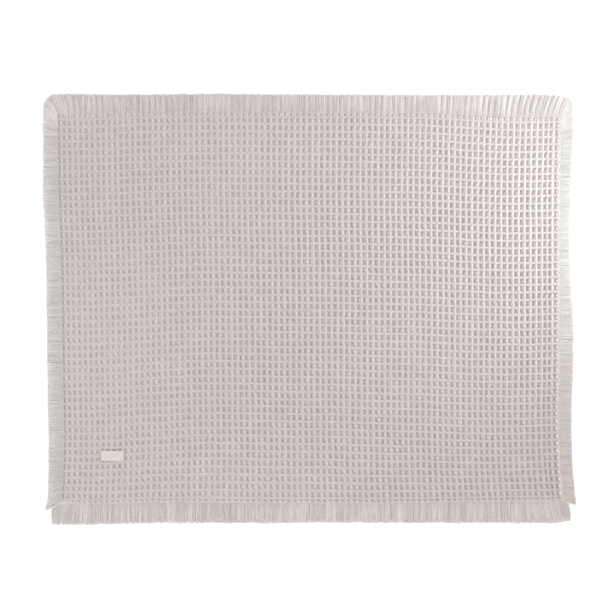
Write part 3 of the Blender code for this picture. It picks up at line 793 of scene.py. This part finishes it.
def fringe_layer(side, layer, seed):
    """One layer of yarn ends along a side, which gather towards the rib that they come out of."""
    random = np.random.default_rng(seed)
    start = evenly(side, layer.pitch)
    count = len(start)
    cells = np.linspace(-1, side.cells - 1, 8 * side.cells + 1)
    at = np.interp(start, side.share_of(cells), cells)
    rib = np.clip(np.round(at), 0, side.cells - 2)
    off = at - rib
    t = np.concatenate([[0.0], np.linspace(0.06, 1.0, layer.steps - 1)])[None, :]      # the root dips into the cloth
    spread = np.clip(t / 0.5, 0, 1)
    spread = spread * spread * (3 - 2 * spread)
    bundle = rib.astype(int)
    gathered = layer.gather * random.uniform(0.45, 1.5, side.cells)[bundle][:, None]
    shift = -off[:, None] * gathered * spread * (np.abs(off[:, None]) < 0.6) / side.cells
    foot, tip = section(side, start[:, None] + np.where((start[:, None] <= 0) | (start[:, None] >= 1), 0, shift))
    span = tip - foot
    # Out of the cloth first, then over to where the tip lies; straight where the corners fan out.
    edge_way = edge_point(side.outline, np.clip(start + 0.004, 0, 1)) - edge_point(side.outline, np.clip(start - 0.004, 0, 1))
    edge_way /= np.linalg.norm(edge_way, axis=-1, keepdims=True)
    edge_way = edge_way[:, None, :]
    sideways = (span * edge_way).sum(-1, keepdims=True)
    outwards = span - sideways * edge_way
    from_corner = np.clip(np.minimum(start, 1 - start) * side.cells / 5.0, 0, 1)[:, None]
    reach = 1 + random.normal(0, 0.020, (count, 1)) + 0.025 * uneven(seed, at * 0.7, 3.0)[:, None]
    root = -side.root_in / np.linalg.norm(span, axis=-1)
    way = (root + (1 - root) * t) * (1 + (reach - 1) * t)
    aside = np.sign(way) * np.abs(way) ** (1 + 0.8 * from_corner)
    lines = foot + outwards * way[..., None] + sideways * edge_way * aside[..., None]
    # Round the two lower corners the ends bend downwards.
    bow = 4 * np.clip(t, 0, 1) * (1 - np.clip(t, 0, 1))
    for bend, near in ((side.start_bend, start), (side.end_bend, 1 - start)):
        lines = lines + np.array(bend) * (bow * np.clip(1 - near[:, None] * side.cells / 3.5, 0, 1) ** 2)[..., None]
    beside = np.stack([-span[..., 1], span[..., 0]], -1) / np.linalg.norm(span, axis=-1, keepdims=True)
    sway = random.normal(0, 1, side.cells)
    sway = np.convolve(np.pad(sway, 1, mode="edge"), (0.3, 0.5, 0.3), "valid")[bundle][:, None]
    sway = (0.9 * layer.gather / 0.4 * sway + random.normal(0, 1, (count, 1)) * layer.wander) * t**1.6
    stray = (random.uniform(0, 1, (count, 1)) < 0.05) * random.normal(0, 2.0, (count, 1)) * t**1.4
    wave = 0.22 * np.sin(2 * math.pi * (random.uniform(0.6, 1.3, (count, 1)) * t + random.uniform(0, 1, (count, 1)))) * t
    lines = lines + beside * (sway + stray * (layer.gather > 0.1) + wave)[..., None]
    fall = t**0.7
    rise = np.clip(1 - (2.0 * off[:, None]) ** 2, -0.5, 1) * 0.45 * layer.gather / 0.4
    heights = (layer.root * (1 - fall) + layer.tip_height * fall + rise * (0.4 + 0.6 * spread)
               + random.normal(0, 0.08, (count, 1)) * spread - 0.9 * (t == 0))
    half_width = layer.half_width * (1 + random.normal(0, 0.08, (count, 1))) * (1 - 0.35 * t**4)
    heights = np.maximum(heights, 0.4 * layer.flat * half_width + 0.05)
    # The yarn ends in the middle of a bundle catch more light than those between two bundles, and are painted lighter
    # for it; along each side they are painted lighter or darker as well: painted light and shade.
    tone = (OWN_TONES[side.node] * random.uniform(-1, 1, count) + side.streaks * (np.cos(2 * math.pi * off) + 0.5 * random.uniform(-1, 1, side.cells)[bundle])
            + np.interp(start, (0, 0.25, 0.5, 0.75, 1), side.paler))
    return strands(lines, heights, half_width, tone, layer.flat, side.tips, side.roots, t[0])


OWN_TONES = {"fringe_top": 1.8, "fringe_bottom": 1.1, "fringe_left": 0.5, "fringe_right": 0.8}     # how unlike the yarn ends are
FRINGES = (
    Side("fringe_top", warp_ends, TOP_SIDE, COLUMNS, share_across, 0.40, 0.50, 0.95, 3.2, 1.7, (0.0, 0.1, 0.3, 0.4, -0.6), 2.8, 3.3, 101, (0, 0), (0, 0), (-4.0, -2.5), (5.0, -4.5)),
    Side("fringe_bottom", warp_ends, BOTTOM_SIDE, COLUMNS, share_across, 0.32, 0.42, 0.1, 1.9, 0.0, (-0.2, -0.2, -0.1, -0.2, -0.4), 6.0, 3.3, 103, (-9.3, 9.1), (5.5, 5.0), (0, 0), (0, 0)),
    Side("fringe_left", weft_ends, LEFT_SIDE, ROWS, down_share, 0.05, 0.32, 0.0, 5.6, 0.0, (0.8, 1.1, 0.8, 0.5, -1.2), 1.4, 3.0, 105, (0, 0), (0, 0), (3.0, 2.5), (0.5, -4.0)),
    Side("fringe_right", weft_ends_right, RIGHT_SIDE, ROWS, down_share, 0.05, 0.36, 0.0, 1.9, 0.0, (-2.5, -1.2, -0.9, -0.8, -0.2), 1.4, 3.7, 107, (0, 0), (0, 0), (-2.5, 4.5), (-0.5, -3.0)),
)
for side in FRINGES:
    upper = fringe_layer(side, Layer(1.75, 0.86, 0.7 + 1.1 * side.gather, side.root, 1.25, side.gather, side.wander, 7), side.seed)
    lower = fringe_layer(side, Layer(1.45, 1.05, 0.50, side.root - 0.7, 0.45, 0.04, 0.2, 5), side.seed + 1)
    places, quads, triangles, uv, tone = joined([upper, lower])
    piece = make_piece(f"{side.node}_yarns", places, quads, triangles, side.material, uv, tone)
    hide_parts(side.node)


# ------------------------------------------------------------------ the line of stitches along the fringe's root
def stitches_along(down, seed):
    """Lock stitches about 3 mm long in a row along one edge."""
    random = np.random.default_rng(seed)
    across = np.linspace(-0.92, 84.92, 268)
    ends = np.stack([across[:-1] + 0.035, across[1:] - 0.035], 1)
    at = np.array((0.0, 0.2, 0.5, 0.8, 1.0))[None, :]
    across = ends[:, :1] + (ends[:, 1:] - ends[:, :1]) * at
    lines = place(across, down + random.normal(0, 0.012, (len(ends), 1)))
    crest = 2.75 - 0.5 * np.abs(2 * at - 1) ** 2.5 + random.normal(0, 0.05, (len(ends), 1))
    half_width = np.full(lines.shape[:2], 0.38) * np.sqrt(1 - 0.8 * np.abs(2 * at - 1) ** 3)
    return lens_strands(lines, crest, half_width, 0.9 * half_width, random.uniform(-1, 1, len(ends)))


places, quads, triangles, uv, tone = joined([stitches_along(-0.80, 201), stitches_along(51.80, 202)])
piece = make_piece("root_stitches", places, quads, triangles, thread, uv, tone)


# ------------------------------------------------------------------ the label
LABEL_AT, LABEL_SIZE, LABEL_TURN = np.array((-372.8, -277.0)), (43.5, 19.6), math.radians(-0.6)


def label_frame(x, y):
    """From the label's own middle to the blanket's place, in millimetres."""
    c, s = math.cos(LABEL_TURN), math.sin(LABEL_TURN)
    return np.stack([LABEL_AT[0] + c * x - s * y, LABEL_AT[1] + s * x + c * y], -1)


def label_height(x, y):
    """The tape's upper face: it lies over the ribs, sags a little between them, and its folded ends are thicker."""
    xy = label_frame(x, y)
    sag = 0.10 * (np.cos(2 * math.pi * x / 11.0) + np.cos(2 * math.pi * y / 14.0 + 0.8))
    fold = 0.22 * np.clip((np.abs(x) - (LABEL_SIZE[0] / 2 - 5.0)) / 0.8, 0, 1)
    curl = 0.18 * np.clip(np.abs(y) / (LABEL_SIZE[1] / 2) - 0.7, 0, 1) * np.cos(0.21 * x + 0.5)
    return ridge_top(xy) + 0.85 + sag + fold + curl


def sewn_label():
    columns, rows = 58, 28
    u, v = np.meshgrid(np.linspace(-1, 1, columns + 1), np.linspace(-1, 1, rows + 1))
    # The rows next to the rim are close together, so that the edge is rounded.
    ease = lambda k: np.sign(k) * (1 - (1 - np.abs(k)) ** 1.25)  # noqa: E731
    x, y = ease(u) * LABEL_SIZE[0] / 2, ease(v) * LABEL_SIZE[1] / 2
    x = x + 0.12 * np.sin(y * 1.1) * np.abs(u) ** 6
    y = y + 0.15 * np.sin(x * 0.33 + 1.0) * np.abs(v) ** 6
    near = np.minimum(LABEL_SIZE[0] / 2 - np.abs(x), LABEL_SIZE[1] / 2 - np.abs(y))
    round_off = 0.32 * (1 - np.sqrt(np.clip(1 - (1 - np.clip(near / 0.45, 0, 1)) ** 2, 0, 1)))
    top = label_height(x, y)
    xy = label_frame(x, y)
    upper = np.concatenate([xy, (top - round_off)[..., None]], -1).reshape(-1, 3)
    lower = np.concatenate([xy, (top - 0.70 + round_off)[..., None]], -1).reshape(-1, 3)
    j, i = np.meshgrid(np.arange(rows), np.arange(columns), indexing="ij")
    a = (j * (columns + 1) + i).ravel()
    quads = np.stack([a, a + 1, a + columns + 2, a + columns + 1], 1)
    index = np.arange((rows + 1) * (columns + 1)).reshape(rows + 1, columns + 1)
    loop = np.concatenate([index[0, :-1], index[:-1, -1], index[-1, :0:-1], index[:0:-1, 0]])
    after = np.roll(loop, -1)
    shift = len(upper)
    rim = np.stack([loop, loop + shift, after + shift, after], 1)
    return np.concatenate([upper, lower]), np.concatenate([quads, quads[:, ::-1] + shift, rim])


places, quads = sewn_label()
label = make_piece("label_tape", places, quads, [], tape)
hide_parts("label")


def label_stitches():
    """A row of small stitches along each of the label's folded ends."""
    random = np.random.default_rng(301)
    lines = []
    for end in (-1, 1):
        for k in range(7):
            y = (k - 3) * 2.45
            x = end * (LABEL_SIZE[0] / 2 - 1.6) + random.normal(0, 0.08)
            lines.append([(x + 0.04 * t, y + t) for t in (-0.85, -0.5, 0.0, 0.5, 0.85)])
    lines = np.array(lines)
    at = np.array((-1.0, -0.6, 0.0, 0.6, 1.0))[None, :]
    crest = label_height(lines[..., 0], lines[..., 1]) + 0.16 - 0.28 * np.abs(at) ** 2.5
    half_width = np.full(lines.shape[:2], 0.24) * np.sqrt(1 - 0.8 * np.abs(at) ** 3)
    return lens_strands(label_frame(lines[..., 0], lines[..., 1]), crest, half_width, 0.9 * half_width,
                        random.uniform(-1, 1, len(lines)))


places, quads, triangles, uv, tone = label_stitches()
piece = make_piece("label_stitches", places, quads, triangles, thread, uv, tone)


# ------------------------------------------------------------------ floor, light and camera
def studio_floor():
    material, tree, shader = new_material("studio_floor", 0.9)
    grain = add(tree, "ShaderNodeTexNoise", in_Scale=3.0, in_Detail=1.0)
    pale = add(tree, "ShaderNodeMapRange", in_3=0.93, in_4=0.94)
    tree.links.new(grain.outputs["Fac"], pale.inputs[0])
    tree.links.new(pale.outputs[0], shader.inputs["Base Color"])
    shader.inputs["Specular IOR Level"].default_value = 0.0
    mesh = bpy.data.meshes.new("floor")
    mesh.from_pydata([(x, y, -0.0004) for x, y in ((-6, -6), (6, -6), (6, 6), (-6, 6))], [], [(0, 1, 2, 3)])
    mesh.materials.append(material)
    piece = bpy.data.objects.new("floor", mesh)
    bpy.context.scene.collection.objects.link(piece)
    return piece


def soft_light(name, at, towards, wide, high, power, spread=180.0, colour=(1.0, 1.0, 1.0)):
    data = bpy.data.lights.new(name, "AREA")
    data.shape, data.size, data.size_y = "RECTANGLE", wide, high
    data.energy, data.spread, data.color = power, math.radians(spread), colour
    lamp = bpy.data.objects.new(name, data)
    bpy.context.scene.collection.objects.link(lamp)
    lamp.location = at
    lamp.rotation_mode = "QUATERNION"
    away = np.array(towards, float) - np.array(at, float)
    lamp.rotation_quaternion = Vector(away).to_track_quat("-Z", "Y")
    lamp.visible_camera = False
    return lamp


studio_floor()
world = bpy.data.worlds.new("studio")
bpy.context.scene.world = world
world.use_nodes = True
sky = world.node_tree.nodes["Background"]
sky.inputs["Color"].default_value = (1.0, 1.0, 1.0, 1.0)
sky.inputs["Strength"].default_value = 1.18
soft_light("window", (-0.25, -2.1, 0.85), (0.1, 0.1, 0.0), 1.8, 0.7, 9.0)
soft_light("corner", (0.88, 0.21, 0.18), (0.0, 0.21, 0.0), 0.40, 0.12, 1.45, 96.0, (0.92, 1.0, 0.985))
soft_light("corner_high", (0.30, 0.75, 0.55), (0.38, 0.22, 0.0), 0.30, 0.20, 0.17, 70.0, (0.92, 1.0, 0.985))

camera_data = bpy.data.cameras.new("camera")
camera_data.sensor_width, camera_data.lens = 36.0, 120.0
camera_data.clip_start, camera_data.clip_end = 0.05, 60.0
camera = bpy.data.objects.new("camera", camera_data)
bpy.context.scene.collection.objects.link(camera)
VIEW_WIDTH, VIEW_MIDDLE = 1.13424, (-0.01824, 0.01786)   # metres across the picture, and the place in its middle
camera.location = (*VIEW_MIDDLE, 0.004 + VIEW_WIDTH * camera_data.lens / camera_data.sensor_width)
bpy.context.scene.camera = camera
bpy.context.scene.view_settings.view_transform = "Standard"
bpy.context.scene.view_settings.look = "None"
bpy.context.scene.view_settings.exposure = 0.0
bpy.context.scene.view_settings.gamma = 1.0
